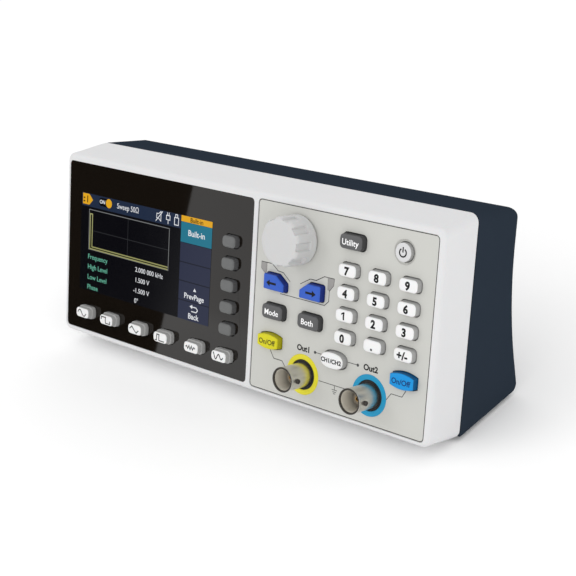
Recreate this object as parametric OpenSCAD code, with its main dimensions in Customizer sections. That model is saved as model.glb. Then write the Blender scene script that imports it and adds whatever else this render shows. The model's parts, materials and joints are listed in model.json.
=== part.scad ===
// Function generator: a bench instrument that leans back on its base.
// It is drawn in the frame of its front face: x to the right from the middle, y into the
// instrument from the face, z up along the face from the display window's lower edge.
// stand() then leans it back and sets it on its feet, with the origin under its middle.

/* [Case] */
// Overall width
body_w = 208; // [200:1:216]
// Angle by which the face leans back from upright
lean = 18; // [15:1:20]
// Depth of the bezel, measured from the face
bezel_d = 20.2; // [18:0.1:24]
// Height of the case top above the window's lower edge
case_top = 82.8; // [81:0.1:86]
// Height of the bezel's top edge at the face
bezel_top = 79.3; // [78.5:0.1:81]
// Distance from the face to the upper part of the rear wall
rear_y = 45.75; // [43:0.25:50]
// Distance of the upright lower rear wall behind the face's lower edge, along the base
rear_d = 57.5; // [56:0.5:62]
// Radius of the hollow curve that joins the two parts of the rear wall
rear_r = 150; // [120:5:180]
// Drop from the window's lower edge to the base, at right angles to the base
base_drop = 8.2; // [7:0.1:9]
// Wall thickness of the mouldings
wall = 2.2; // [1.8:0.1:2.6]
// Height of the rubber feet
foot_h = 2; // [1.5:0.1:3]

/* [Front] */
// Width of the display window
window_w = 113.9; // [110:0.1:116]
// Height of the display window
window_h = 76; // [75:0.1:77]
// Width of the keypad panel
panel_w = 87.6; // [86:0.1:90]
// Height of the keypad panel
panel_h = 77.1; // [76.5:0.1:78]
// Width of the bezel strip between the window and the keypad panel
divider_w = 2.2; // [2:0.1:3]
// Thickness of the window and of the keypad panel
plate_t = 1.8; // [1.6:0.1:2]
// Width of the display's visible area
lcd_w = 82.8; // [80:0.1:84]
// Height of the display's visible area
lcd_h = 44; // [42:0.1:46]

/* [Keys] */
// Travel of every key
key_travel = 1; // [0.6:0.1:1.1]
// Gap between a key and the edge of its opening
key_gap = 0.3; // [0.3:0.05:0.4]
// How far the panel keys stand out
key_reach = 2.7; // [2:0.1:3.5]
// How far the waveform keys stand out
wave_reach = 3.9; // [3:0.1:4.5]
// Width of a number key
digit_w = 8.7; // [8:0.1:9.5]
// Height of a number key
digit_h = 5.2; // [4.8:0.1:5.6]
// Spacing of the number keys across
digit_dx = 14.2; // [13.8:0.1:14.5]
// Spacing of the number keys up and down
digit_dz = 8.65; // [8.4:0.05:8.8]
// Spacing of the softkeys
soft_dz = 9.08; // [8.8:0.02:9.3]
// Spacing of two waveform keys within a pair
wave_dx = 16.3; // [15:0.1:17]
// Spacing of the pairs of waveform keys
pair_dx = 35.2; // [34.5:0.1:35.6]

/* [Knob] */
// Radius of the knob
knob_r = 9.7; // [9:0.1:10]
// How far the knob stands out
knob_reach = 11.6; // [10.5:0.1:12]
// Number of flutes round the knob
flutes = 9; // [6:1:12]

/* [Sockets] */
// Outer radius of a socket's barrel
barrel_r = 4.85; // [4.8:0.01:4.9]
// Radius of the bore at a socket's mouth
mouth_r = 4.05; // [4.05:0.01:4.1]
// How far a socket stands out
bnc_reach = 12; // [11.4:0.1:12.2]
// Outer radius of the coloured ring round an output socket
ring_r = 8.1; // [7.9:0.1:8.3]

/* [Hidden] */
$fn = 64;
ARC_STEPS = 6;
half_w = body_w / 2;
part_line = 0.3;
face_y = 0.2;
plate_back = face_y + plate_t;
bezel_wall = 3.2;
ledge = 1.6;
corner_r = 5;
plate_r = 1.7;
front_r = 1.8;
case_y = bezel_d + part_line;

// Where the two front plates lie
window_x = -(window_w + divider_w + panel_w) / 2;
panel_x = window_x + window_w + divider_w;
panel_z = -(panel_h - window_h) / 2;

// Key stack, from the plates inwards
flange_y = plate_back + 0.3;
flange_t = 0.8;
flange_grow = 0.9;
mat_y = flange_y + flange_t + key_travel + 0.3;
dome_h = 0.4;
dome_r = 1.9;
mat_t = 0.6;
board_t = 1.6;
kb_y = mat_y + dome_h + mat_t;
kb_back = kb_y + board_t;
main_y = 22;

// Places on the keypad panel, from its left edge
knob_x = panel_x + 21.75;
knob_z = 63.65;
left_x = panel_x + 21.55;
left_half = 9.35;
arrow_z = 44.9;
mode_z = 33.05;
digit_x = panel_x + 48.55;
digit_z = 56.65;
utility_x = panel_x + 49.4;
utility_z = 67.6;
power_x = panel_x + 72.65;
power_z = 67.9;
power_r = 3.6;
output_x = panel_x + 44.55;
output_dx = 33.3;
output_key_x = output_x - 0.6;
output_z = 20.8;
socket_z = 11;
SOCKET_X = [output_x - output_dx / 2, output_x + output_dx / 2];

// Places on the display window, from its left edge
soft_x = window_x + 102.7;
soft_z = 56.7;
wave_x = window_x + 14.75;
wave_z = 8.8;
lcd_x = window_x + 49.95;
lcd_z = 40.55;

// Key colours
WHITE = [0.95, 0.95, 0.94];
GREY = [0.44, 0.45, 0.45];
DARK = [0.37, 0.37, 0.37];
BLUE = [0.24, 0.37, 0.75];
YELLOW = [0.84, 0.82, 0.16];
CYAN = [0.12, 0.57, 0.88];
PALE = [0.89, 0.89, 0.89];
PANEL_GREY = [0.8, 0.8, 0.79];
NAVY = [0.17, 0.2, 0.24];
BLACK = [0.06, 0.05, 0.05];
NICKEL = [0.72, 0.7, 0.66];
GOLD = [0.85, 0.65, 0.2];
BOARD_GREEN = [0.06, 0.3, 0.16];
STEEL = [0.75, 0.75, 0.75];

// Every key: name, outline, x, z, width, height, reach, colour
SOFT_KEYS = [for (i = [0:4])
    [str("softkey_", i + 1), "pad", soft_x, soft_z - i * soft_dz, 7.6, 5.2, 2.5, GREY]];
WAVE_NAMES = ["sine", "square", "ramp", "pulse", "noise", "arbitrary"];
WAVE_KEYS = [for (i = [0:5])
    [str("wave_", WAVE_NAMES[i]), "pad", wave_x + floor(i / 2) * pair_dx + (i % 2) * wave_dx,
     wave_z, 9.3, 5.4, wave_reach, WHITE]];
DIGIT_NAMES = ["digit_7", "digit_8", "digit_9", "digit_4", "digit_5", "digit_6",
               "digit_1", "digit_2", "digit_3", "digit_0", "point_key", "sign_key"];
DIGIT_KEYS = [for (i = [0:11])
    [DIGIT_NAMES[i], "pad", digit_x + (i % 3) * digit_dx, digit_z - floor(i / 3) * digit_dz,
     digit_w, digit_h, key_reach, WHITE]];
FUNCTION_KEYS = [
    ["utility_key", "pad", utility_x, utility_z, 11, 6, key_reach, DARK],
    ["power_button", "disc", power_x, power_z, 2 * power_r, 2 * power_r, 1.1, WHITE],
    ["arrow_left", "left", left_x - left_half, arrow_z, 11, 6.6, key_reach, BLUE],
    ["arrow_right", "right", left_x + left_half, arrow_z, 11, 6.6, key_reach, BLUE],
    ["mode_key", "pad", left_x - left_half, mode_z, 11, 6.2, key_reach, DARK],
    ["both_key", "pad", left_x + left_half, mode_z, 11, 6.2, key_reach, DARK],
    ["out1_key", "barrel", output_key_x - output_dx, output_z, 11.2, 6.5, key_reach, YELLOW],
    ["channel_key", "oval", output_key_x, output_z, 11.4, 6.7, key_reach, WHITE],
    ["out2_key", "barrel", output_key_x + output_dx, output_z, 11.2, 6.5, key_reach, CYAN]];
WINDOW_KEYS = concat(SOFT_KEYS, WAVE_KEYS);
PANEL_KEYS = concat(DIGIT_KEYS, FUNCTION_KEYS);
KEYS = concat(WINDOW_KEYS, PANEL_KEYS);

// Knob and encoder, measured outwards from the face
knob_foot = 0.4;
skirt_h = 1.2;
cavity_r = 7.4;
cavity_h = 6;
shaft_r = 3;
shaft_reach = 9;
shaft_back = 6;
shaft_play = 0.05;
bush_r = 3.5;
bush_reach = 5.4;
encoder_w = 12.4;
encoder_back = 8.6;
flute_r = 2.4;
flute_depth = 0.5;
flute_foot = 3.4;
flute_turn = 36;

// Sockets, measured outwards from the wall they stand on
thread_r = 4.75;
mouth_depth = 4.4;
throat_r = 3.85;
floor_reach = 2;
insulator_r = 2.4;
insulator_reach = 6.4;
contact_r = 1.05;
contact_bore_r = 0.69;
contact_reach = 6.9;
lug_r = 0.95;
lug_reach = 8.5;
lug_out = 0.75;
bush_outer_r = 6;
socket_back = 10;
nut_r = 7.4;
nut_t = 2.2;

// Rear bay, in the standing frame: distances behind the face's lower edge and above the base
bay_y = 55;
bay_low = 9;
bay_high = 43;
bay_half = 78;
bay_mid = 26;
io_y = 38;
rear_bnc_x = -58;
usb_a_x = 12;
usb_b_x = -16;
dc_x = 58;
lock_x = -90;

// Screws, posts and feet
SCREW_X = 98;
SCREW_Z = [17, 71];
post_r = 4.6;
boss_r = 3.6;
boss_y = 8;
well_r = 3.2;
screw_r = 1.5;
screw_head_r = 2.7;
well_floor = 24;
STANDOFF_X = 60;
STANDOFF_Z = [12, 72];
FOOT_X = 86;
FOOT_Y = [25, 50];
foot_r = 5;

// The box of the standing instrument, which sets its origin
front_most = (face_y - bnc_reach) * cos(lean) + (socket_z - barrel_r) * sin(lean);
top_r = 3;
rear_most = (rear_y - top_r) * cos(lean) + (case_top - top_r) * sin(lean) + top_r;

FIXED = ["front_bezel", "display_window", "keypad_panel", "lcd_panel", "lcd_frame", "key_mat",
         "keyboard_board", "main_board", "shield_can", "io_board", "rear_case", "out1_ring",
         "out2_ring", "socket_bushes", "out1_socket", "out2_socket", "rear_socket",
         "socket_insulators", "socket_contacts", "panel_nuts", "encoder_body", "dc_inlet",
         "usb_ports", "standoffs", "case_screws", "rubber_feet"];

// ---- helpers ----

function arc(c, r, a0, a1, n = ARC_STEPS) =
    [for (i = [0:n]) c + r * [cos(a0 + (a1 - a0) * i / n), sin(a0 + (a1 - a0) * i / n)]];

function round_rect(w, h, r) = concat(
    arc([w / 2 - r, h / 2 - r], r, 0, 90), arc([r - w / 2, h / 2 - r], r, 90, 180),
    arc([r - w / 2, r - h / 2], r, 180, 270), arc([w / 2 - r, r - h / 2], r, 270, 360));

// Straight ends and bowed long sides
function barrel(w, h) = let (n = 10, end = 0.33) concat(
    [for (i = [0:n]) let (u = 1 - 2 * i / n) [u * w / 2, h * (0.5 - (0.5 - end) * u * u)]],
    [for (i = [0:n]) let (u = 2 * i / n - 1) [u * w / 2, -h * (0.5 - (0.5 - end) * u * u)]]);

function oval(w, h) = let (n = 40, p = 2 / 2.5)
    [for (i = [0:n - 1]) let (c = cos(360 * i / n), s = sin(360 * i / n))
        [w / 2 * sign(c) * pow(abs(c), p), h / 2 * sign(s) * pow(abs(s), p)]];

// A block with its upper inner corner cut off at a slant
function arrow(w, h, side) = let (cut_x = 4.2, cut_z = 3.1)
    [[-side * w / 2, -h / 2], [side * w / 2, -h / 2], [side * w / 2, h / 2 - cut_z],
     [side * (w / 2 - cut_x), h / 2], [-side * w / 2, h / 2]];

// A key's outline in the face's plane, grown by g all round
module outline(kind, w, h, g = 0) {
    if (kind == "pad") polygon(round_rect(w + 2 * g, h + 2 * g, 1.2 + g));
    if (kind == "barrel") polygon(barrel(w + 2 * g, h + 2 * g));
    if (kind == "oval") polygon(oval(w + 2 * g, h + 2 * g));
    if (kind == "left") polygon(arrow(w + 2 * g, h + 2 * g, 1));
    if (kind == "right") polygon(arrow(w + 2 * g, h + 2 * g, -1));
    if (kind == "disc") circle(r = w / 2 + g);
}

// Extrudes an outline of (x, z) from y0 to y1
module along_y(y0, y1) translate([0, y1, 0]) rotate([90, 0, 0]) linear_extrude(y1 - y0) children();

// Extrudes an outline of (y, z) across the width w
module across(w) rotate([90, 0, 90]) translate([0, 0, -w / 2]) linear_extrude(w) children();

// A round bar along y, from y0 to y1
module bar(r, y0, y1) translate([0, y1, 0]) rotate([90, 0, 0]) cylinder(h = y1 - y0, r = r);

// A box between two corners
module block(low, high) translate(low) cube(high - low);

// Leans the instrument back and sets it on its feet
module stand() translate([0, -(front_most + rear_most) / 2, base_drop + foot_h])
    rotate([-lean, 0, 0]) children();

// Puts children, drawn with y to the rear and z above the base, into the face's frame
module upright() rotate([lean, 0, 0]) translate([0, 0, -base_drop]) children();

// ---- shells ----

// Side view of the rear case, inset by g
function case_side(g) = let (
    low_r = 3,
    c = [rear_y + rear_r, (rear_d + rear_r - (rear_y + rear_r) * cos(lean)) / sin(lean)],
    low = [(rear_d - g - low_r), (g + low_r - base_drop)],
    low_c = [low.x * cos(lean) - low.y * sin(lean), low.x * sin(lean) + low.y * cos(lean)],
    base_z = (case_y * sin(lean) - base_drop + g) / cos(lean))
    concat([[case_y - g, base_z - g * tan(lean)]],
           arc(low_c, low_r, lean - 90, lean),
           arc(c, rear_r + g, 180 + lean, 180, 14),
           arc([rear_y - top_r, case_top - top_r], top_r - g, 0, 90),
           [[case_y - g, case_top - g]]);

module case_body(g) intersection() {
    across(body_w) polygon(case_side(g));
    translate([0, 0, case_top / 2 - 4]) along_y(case_y - g, 70)
        polygon(round_rect(body_w - 2 * g, case_top + 8 - 2 * g, corner_r - g / 2));
}

module bay(g) upright()
    block([-bay_half - g, bay_y - g, bay_low - g], [bay_half + g, 90, bay_high + g]);

module screw_places() for (x = [-SCREW_X, SCREW_X], z = SCREW_Z) translate([x, 0, z]) children();

module rear_case() color(NAVY) stand() difference() {
    union() {
        difference() {
            case_body(0);
            difference() {
                case_body(wall);
                bay(wall);
            }
        }
        intersection() {
            case_body(0.01);
            screw_places() bar(post_r, case_y, 70);
        }
    }
    bay(0);
    screw_places() bar(screw_r + 0.2, case_y - 1, well_floor + 1);
    screw_places() bar(well_r, well_floor, 70);
    upright() rear_openings();
    for (i = [-7.5:7.5]) block([i * 7.2 - 1.1, 40, 58], [i * 7.2 + 1.1, 60, 68]);
}

// Openings through the bay's wall and the lock slot
module rear_openings() {
    translate([rear_bnc_x, 0, bay_mid]) bar(thread_r + 0.1, 40, 60);
    usb_hole(usb_a_x, 14.6, 7.2);
    usb_hole(usb_b_x, 12.6, 11.4);
    usb_hole(dc_x, 10.4, 12.4);
    block([lock_x - 3.5, 40, 9], [lock_x + 3.5, 70, 12]);
}

module usb_hole(x, w, h) block([x - w / 2, 40, bay_mid - h / 2], [x + w / 2, 60, bay_mid + h / 2]);

// Side view of the bezel, with its rounded front edges and its rising top
function bezel_side() = concat(
    [[bezel_d, -2.85]],
    [[front_r + 1, -2.4]],
    arc([front_r, front_r - 2.4], front_r, 270, 180),
    arc([front_r, bezel_top - front_r], front_r, 180, 100),
    [[8, bezel_top + 1.1], [14, bezel_top + 2.4], [bezel_d, case_top]]);

module bezel_body() intersection() {
    across(body_w) polygon(bezel_side());
    translate([0, 0, (case_top - 2.85) / 2]) along_y(0, bezel_d)
        polygon(round_rect(body_w, case_top + 2.85, corner_r));
    translate([0, 0, -10]) linear_extrude(120) polygon(concat(
        [[half_w, bezel_d]], [[-half_w, bezel_d]],
        arc([front_r - half_w, front_r], front_r, 180, 270),
        arc([half_w - front_r, front_r], front_r, 270, 360)));
}

module front_bezel() color(PALE) stand() {
    difference() {
        union() {
            difference() {
                bezel_body();
                block([wall - half_w, bezel_wall, wall - 2.4], [half_w - wall, 40, bezel_top - wall]);
            }
            screw_places() bezel_boss();
        }
        plate_pocket(window_x, 0, window_w, window_h);
        plate_pocket(panel_x, panel_z, panel_w, panel_h);
        screw_places() bar(screw_r + 0.05, 9, 40);
    }
}

// A screw boss, with a web that joins it to the bezel's side wall
module bezel_boss() {
    bar(boss_r, boss_y, bezel_d);
    block([-boss_r - 1, boss_y, -2.5], [boss_r + 1, bezel_d, 2.5]);
}

// Seat for a front plate, and the opening behind it
module plate_pocket(x, z, w, h) translate([x + w / 2, 0, z + h / 2]) {
    along_y(-1, plate_back) polygon(round_rect(w, h, plate_r + 0.1));
    block([ledge - w / 2, 0, ledge - h / 2], [w / 2 - ledge, 6, h / 2 - ledge]);
}

module key_openings(keys) for (k = keys) translate([k[2], 0, k[3]])
    along_y(-1, 4) outline(k[1], k[4], k[5], key_gap);

module plate(x, z, w, h) translate([x + w / 2, 0, z + h / 2])
    along_y(face_y, plate_back) polygon(round_rect(w - 0.2, h - 0.2, plate_r));

module display_window() color(BLACK) stand() difference() {
    plate(window_x, 0, window_w, window_h);
    key_openings(WINDOW_KEYS);
}

module keypad_panel() color(PANEL_GREY) stand() difference() {
    plate(panel_x, panel_z, panel_w, panel_h);
    key_openings(PANEL_KEYS);
    translate([knob_x, 0, knob_z]) bar(bush_r + 0.1, -1, 4);
    translate([power_x, 0, power_z]) bar(power_r + 1, -1, face_y + 0.5);
    for (x = SOCKET_X) translate([x, 0, socket_z]) {
        bar(bush_outer_r + 0.05, -1, 4);
        bar(ring_r + 0.05, -1, face_y + 0.6);
    }
}

// ---- display and boards ----

module lcd_panel() color(BLACK) stand() translate([lcd_x, 0, lcd_z])
    block([-lcd_w / 2 - 2, plate_back + 0.2, -lcd_h / 2 - 2.5], [lcd_w / 2 + 2, plate_back + 2.6, lcd_h / 2 + 1.5]);

module lcd_frame() color(STEEL) stand() translate([lcd_x, 0, lcd_z]) difference() {
    block([-lcd_w / 2 - 3, plate_back + 0.2, -lcd_h / 2 - 3.5], [lcd_w / 2 + 3, plate_back + 4, lcd_h / 2 + 2.5]);
    block([-lcd_w / 2 - 2, 0, -lcd_h / 2 - 2.5], [lcd_w / 2 + 2, plate_back + 2.6, lcd_h / 2 + 1.5]);
}

module inner_cuts() {
    translate([lcd_x, 0, lcd_z])
        block([-lcd_w / 2 - 4, 0, -lcd_h / 2 - 4.5], [lcd_w / 2 + 4, 12, lcd_h / 2 + 3.5]);
    translate([knob_x, 0, knob_z])
        block([-encoder_w / 2 - 0.6, 0, -encoder_w / 2 - 0.6], [encoder_w / 2 + 0.6, 12, encoder_w / 2 + 0.6]);
    for (x = SOCKET_X) translate([x, 0, socket_z]) bar(nut_r + 0.6, 0, 12);
}

module inner_plate(y0, y1, low, high) block(
    [window_x + 3, y0, low], [panel_x + panel_w - 3, y1, high]);

module key_mat() color([0.25, 0.25, 0.26]) stand() difference() {
    union() {
        inner_plate(mat_y + dome_h, kb_y, 2, 73);
        for (k = KEYS) translate([k[2], 0, k[3]]) bar(dome_r, mat_y, mat_y + dome_h + 0.1);
    }
    inner_cuts();
}

module keyboard_board() color(BOARD_GREEN) stand() difference() {
    inner_plate(kb_y, kb_back, 2, 74.5);
    inner_cuts();
}

module main_board() color(BOARD_GREEN) stand() block([-84, main_y, 6], [84, main_y + board_t, 76]);

module shield_can() color(STEEL) stand() difference() {
    block([24, main_y + board_t, 50], [76, main_y + board_t + 5.4, 72]);
    block([24.4, main_y, 50.4], [75.6, main_y + board_t + 5, 71.6]);
}

module io_board() color(BOARD_GREEN) stand() upright()
    block([-44, io_y, bay_mid - 12], [70, io_y + board_t, bay_mid + 12]);

module standoffs() color(STEEL) stand()
    for (x = [-STANDOFF_X, STANDOFF_X], z = STANDOFF_Z) translate([x, 0, z])
        translate([0, main_y, 0]) rotate([90, 0, 0]) cylinder(h = main_y - kb_back, r = 3, $fn = 6);

module case_screws() color(STEEL) stand() screw_places() difference() {
    union() {
        bar(screw_r, 12, well_floor + 0.5);
        bar(screw_head_r, well_floor, well_floor + 2);
    }
    translate([0, well_floor + 3, 0]) rotate([90, 0, 0]) cylinder(h = 2, r = 1.4, $fn = 6);
}

module rubber_feet() color([0.12, 0.12, 0.12]) stand() upright()
    for (x = [-FOOT_X, FOOT_X], y = FOOT_Y) translate([x, y, -foot_h]) rotate_extrude()
        polygon([[0, 0], [foot_r - 0.6, 0], [foot_r, 0.6], [foot_r, foot_h], [0, foot_h]]);

// ---- sockets ----

// Drawn pointing along -y, with y = 0 on the wall that the socket stands on
module socket_shell() difference() {
    union() {
        bar(thread_r, -2, socket_back);
        bar(barrel_r, -bnc_reach, -1);
        for (s = [-1, 1]) translate([0, -lug_reach, 0]) rotate([0, s * 90, 0])
            cylinder(h = barrel_r + lug_out, r = lug_r);
    }
    bar(mouth_r, -bnc_reach - 1, mouth_depth - bnc_reach);
    bar(throat_r, -bnc_reach - 1, -floor_reach);
    bar(insulator_r, -bnc_reach, socket_back + 1);
}

module socket_insulator() difference() {
    bar(insulator_r, -insulator_reach, socket_back);
    bar(contact_r, -bnc_reach, socket_back + 1);
}

module socket_contact() difference() {
    bar(contact_r, -contact_reach, socket_back + 2.5);
    bar(contact_bore_r, -bnc_reach, -1);
}

module socket_nut(y0) difference() {
    translate([0, y0 + nut_t, 0]) rotate([90, 0, 0]) cylinder(h = nut_t, r = nut_r, $fn = 6);
    bar(thread_r, y0 - 1, y0 + nut_t + 1);
}

module output_places() for (x = SOCKET_X) translate([x, face_y, socket_z]) children();

module rear_place() upright() translate([rear_bnc_x, bay_y, bay_mid]) rotate([0, 0, 180]) children();

module out1_socket() color(NICKEL) stand() translate([SOCKET_X[0], face_y, socket_z]) socket_shell();

module out2_socket() color(NICKEL) stand() translate([SOCKET_X[1], face_y, socket_z]) socket_shell();

module rear_socket() color(NICKEL) stand() rear_place() socket_shell();

module socket_insulators() color("white") stand() {
    output_places() socket_insulator();
    rear_place() socket_insulator();
}

module socket_contacts() color(GOLD) stand() {
    output_places() socket_contact();
    rear_place() socket_contact();
}

module socket_bushes() color(BLACK) stand() output_places() difference() {
    bar(bush_outer_r, 0, plate_t);
    bar(thread_r, -1, plate_t + 1);
}

module ring(x, c) color(c) stand() translate([x, face_y, socket_z]) difference() {
    bar(ring_r, -0.15, 0.6);
    bar(bush_outer_r + 0.05, -1, 1);
}

module out1_ring() ring(SOCKET_X[0], YELLOW);

module out2_ring() ring(SOCKET_X[1], CYAN);

module panel_nuts() color(NICKEL) stand() {
    output_places() socket_nut(plate_t);
    rear_place() socket_nut(wall);
    translate([knob_x, face_y, knob_z]) difference() {
        rotate([90, 0, 0]) cylinder(h = 2, r = 5.6, $fn = 6);
        bar(bush_r, -4, 1);
    }
}

// ---- rear connectors ----

module dc_inlet() color(BLACK) stand() upright() translate([dc_x, 0, bay_mid]) {
    difference() {
        block([-4.9, io_y + board_t, -5.9], [4.9, bay_y + 0.4, 5.9]);
        bar(3.1, bay_y - 9, bay_y + 1);
    }
    bar(1.05, bay_y - 9.5, bay_y - 0.8);
}

module port(x, w, h, tongue_w, tongue_h, tongue_z) upright() translate([x, 0, bay_mid]) {
    difference() {
        block([-w / 2, io_y + board_t, -h / 2], [w / 2, bay_y + 0.4, h / 2]);
        block([0.4 - w / 2, bay_y - 11, 0.4 - h / 2], [w / 2 - 0.4, bay_y + 1, h / 2 - 0.4]);
    }
    block([-tongue_w / 2, bay_y - 12, tongue_z - tongue_h / 2],
          [tongue_w / 2, bay_y - 1, tongue_z + tongue_h / 2]);
}

module usb_ports() color(STEEL) stand() {
    port(usb_a_x, 14, 6.5, 11, 1.9, 1.4);
    port(usb_b_x, 12, 10.8, 5.6, 3.2, 0);
}

// ---- encoder and knob ----

module encoder_body() color(STEEL) stand() translate([knob_x, 0, knob_z]) difference() {
    union() {
        block([-encoder_w / 2, plate_back, -encoder_w / 2], [encoder_w / 2, encoder_back, encoder_w / 2]);
        bar(bush_r, -bush_reach, plate_back + 1);
    }
    bar(shaft_r + shaft_play, -bush_reach - 1, shaft_back + 0.3);
}

module encoder_shaft() color(STEEL) stand() translate([knob_x, 0, knob_z])
    bar(shaft_r, -shaft_reach, shaft_back);

module knob() color([0.85, 0.85, 0.85]) stand() translate([knob_x, 0, knob_z]) difference() {
    rotate([90, 0, 0]) rotate_extrude() polygon(concat(
        [[0, knob_foot], [knob_r + 0.15, knob_foot], [knob_r + 0.15, skirt_h], [knob_r, skirt_h + 0.2]],
        arc([knob_r - 1.6, knob_reach - 1.9], 1.6, 0, 80),
        [[0, knob_reach]]));
    bar(cavity_r, -cavity_h, 1);
    bar(shaft_r, -shaft_reach, 1);
    for (i = [0:flutes - 1]) rotate([0, -i * 360 / flutes - flute_turn, 0])
        translate([knob_r + flute_r - flute_depth, 0, 0]) bar(flute_r, -knob_reach - 1, -flute_foot);
}

// ---- keys ----

// Keeps the front edges of a w by h cap bevelled by c
module bevel(w, h, front, back, c) intersection() {
    children();
    across(w + 2) polygon([[front, c - h / 2], [front + c, -h / 2], [back, -h / 2 - 2],
                           [back, h / 2 + 2], [front + c, h / 2], [front, h / 2 - c]]);
    translate([0, 0, -h]) linear_extrude(2 * h) polygon([[c - w / 2, front], [-w / 2, front + c],
        [-w / 2 - 2, back], [w / 2 + 2, back], [w / 2, front + c], [w / 2 - c, front]]);
}

module key(k) color(k[7]) stand() translate([k[2], 0, k[3]]) {
    bevel(k[4], k[5], -k[6], flange_y + 0.4, 0.5) along_y(-k[6], flange_y + 0.4) outline(k[1], k[4], k[5]);
    along_y(flange_y, flange_y + flange_t) outline(k[1], k[4], k[5], flange_grow);
}

front_bezel();
display_window();
keypad_panel();
lcd_panel();
lcd_frame();
key_mat();
keyboard_board();
main_board();
shield_can();
io_board();
rear_case();
out1_ring();
out2_ring();
socket_bushes();
out1_socket();
out2_socket();
rear_socket();
socket_insulators();
socket_contacts();
panel_nuts();
encoder_body();
dc_inlet();
usb_ports();
standoffs();
case_screws();
rubber_feet();
knob();
encoder_shaft();
for (k = KEYS) key(k);
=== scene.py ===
"""Function generator: the looks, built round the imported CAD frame.

Front pieces are drawn in millimetres in the frame of the instrument's face: x to the right from
the middle, y into the instrument, z up along the face from the display window's lower edge.
Pieces at the back are drawn in the row frame, also in millimetres.
"""

import json
import math

import bmesh
import bpy
import numpy as np
from mathutils import Matrix, Vector


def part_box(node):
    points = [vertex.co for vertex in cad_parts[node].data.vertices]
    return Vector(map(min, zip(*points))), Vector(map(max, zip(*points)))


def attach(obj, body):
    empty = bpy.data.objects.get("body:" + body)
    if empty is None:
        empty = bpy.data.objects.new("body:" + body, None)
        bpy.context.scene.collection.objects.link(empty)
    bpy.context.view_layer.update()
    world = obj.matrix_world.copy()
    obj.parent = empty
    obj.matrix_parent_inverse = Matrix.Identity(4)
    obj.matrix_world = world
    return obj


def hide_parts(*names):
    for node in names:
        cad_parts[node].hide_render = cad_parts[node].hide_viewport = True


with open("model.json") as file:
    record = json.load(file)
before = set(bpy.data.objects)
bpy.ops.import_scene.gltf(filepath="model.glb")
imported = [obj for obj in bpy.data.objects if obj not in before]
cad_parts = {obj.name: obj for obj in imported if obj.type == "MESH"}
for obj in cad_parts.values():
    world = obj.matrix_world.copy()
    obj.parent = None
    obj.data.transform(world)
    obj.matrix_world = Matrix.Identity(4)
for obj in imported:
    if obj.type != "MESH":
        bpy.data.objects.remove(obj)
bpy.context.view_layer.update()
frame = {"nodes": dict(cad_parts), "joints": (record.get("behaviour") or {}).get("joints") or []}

MM = 0.001

# ---- frames

NODES = frame["nodes"]
JOINTS = {j["name"]: j for j in frame["joints"]}
OUT = Vector(JOINTS["knob_turn"]["axis"]).normalized()
FACE_ROT = Matrix((Vector((1, 0, 0)), -OUT, Vector((1, 0, 0)).cross(-OUT))).transposed()
LEAN = math.asin(OUT.z)


def box_in(node, rotation):
    """Lowest and highest corner of a CAD node, in millimetres, along a rotation's own axes."""
    points = np.array([v.co for v in NODES[node].data.vertices]) @ np.array(rotation) / MM
    return Vector(points.min(0)), Vector(points.max(0))


PLATE_GAP = 0.1
FACE_ORIGIN = Vector((0, box_in("front_bezel", FACE_ROT)[0].y,
                      box_in("display_window", FACE_ROT)[0].z - PLATE_GAP))


def face_box(node):
    """A CAD node's box in the face's frame, in millimetres."""
    low, high = box_in(node, FACE_ROT)
    return low - FACE_ORIGIN, high - FACE_ORIGIN


def row_box(node):
    """A CAD node's box in the row frame, in millimetres."""
    low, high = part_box(node)
    return Vector(low) / MM, Vector(high) / MM


def middle(low, high):
    """The middle (x, z) of a box."""
    return (low.x + high.x) / 2, (low.z + high.z) / 2


ROW = Matrix.Scale(MM, 4)
FACE = ROW @ FACE_ROT.to_4x4() @ Matrix.Translation(FACE_ORIGIN)
ROW_TO_FACE = FACE.inverted() @ ROW
WINDOW_LOW, WINDOW_HIGH = face_box("display_window")
PANEL_LOW, PANEL_HIGH = face_box("keypad_panel")
FACE_Y = WINDOW_LOW.y
WINDOW_X = WINDOW_LOW.x - PLATE_GAP

# ---- materials


def rgb(*values):
    """Linear colour from display values of 0 to 255."""
    def linear(v):
        v = v / 255
        return v / 12.92 if v <= 0.04045 else ((v + 0.055) / 1.055) ** 2.4
    return (*[linear(v) for v in values], 1)


SUBSURFACE_DEPTH = 0.0006


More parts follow.
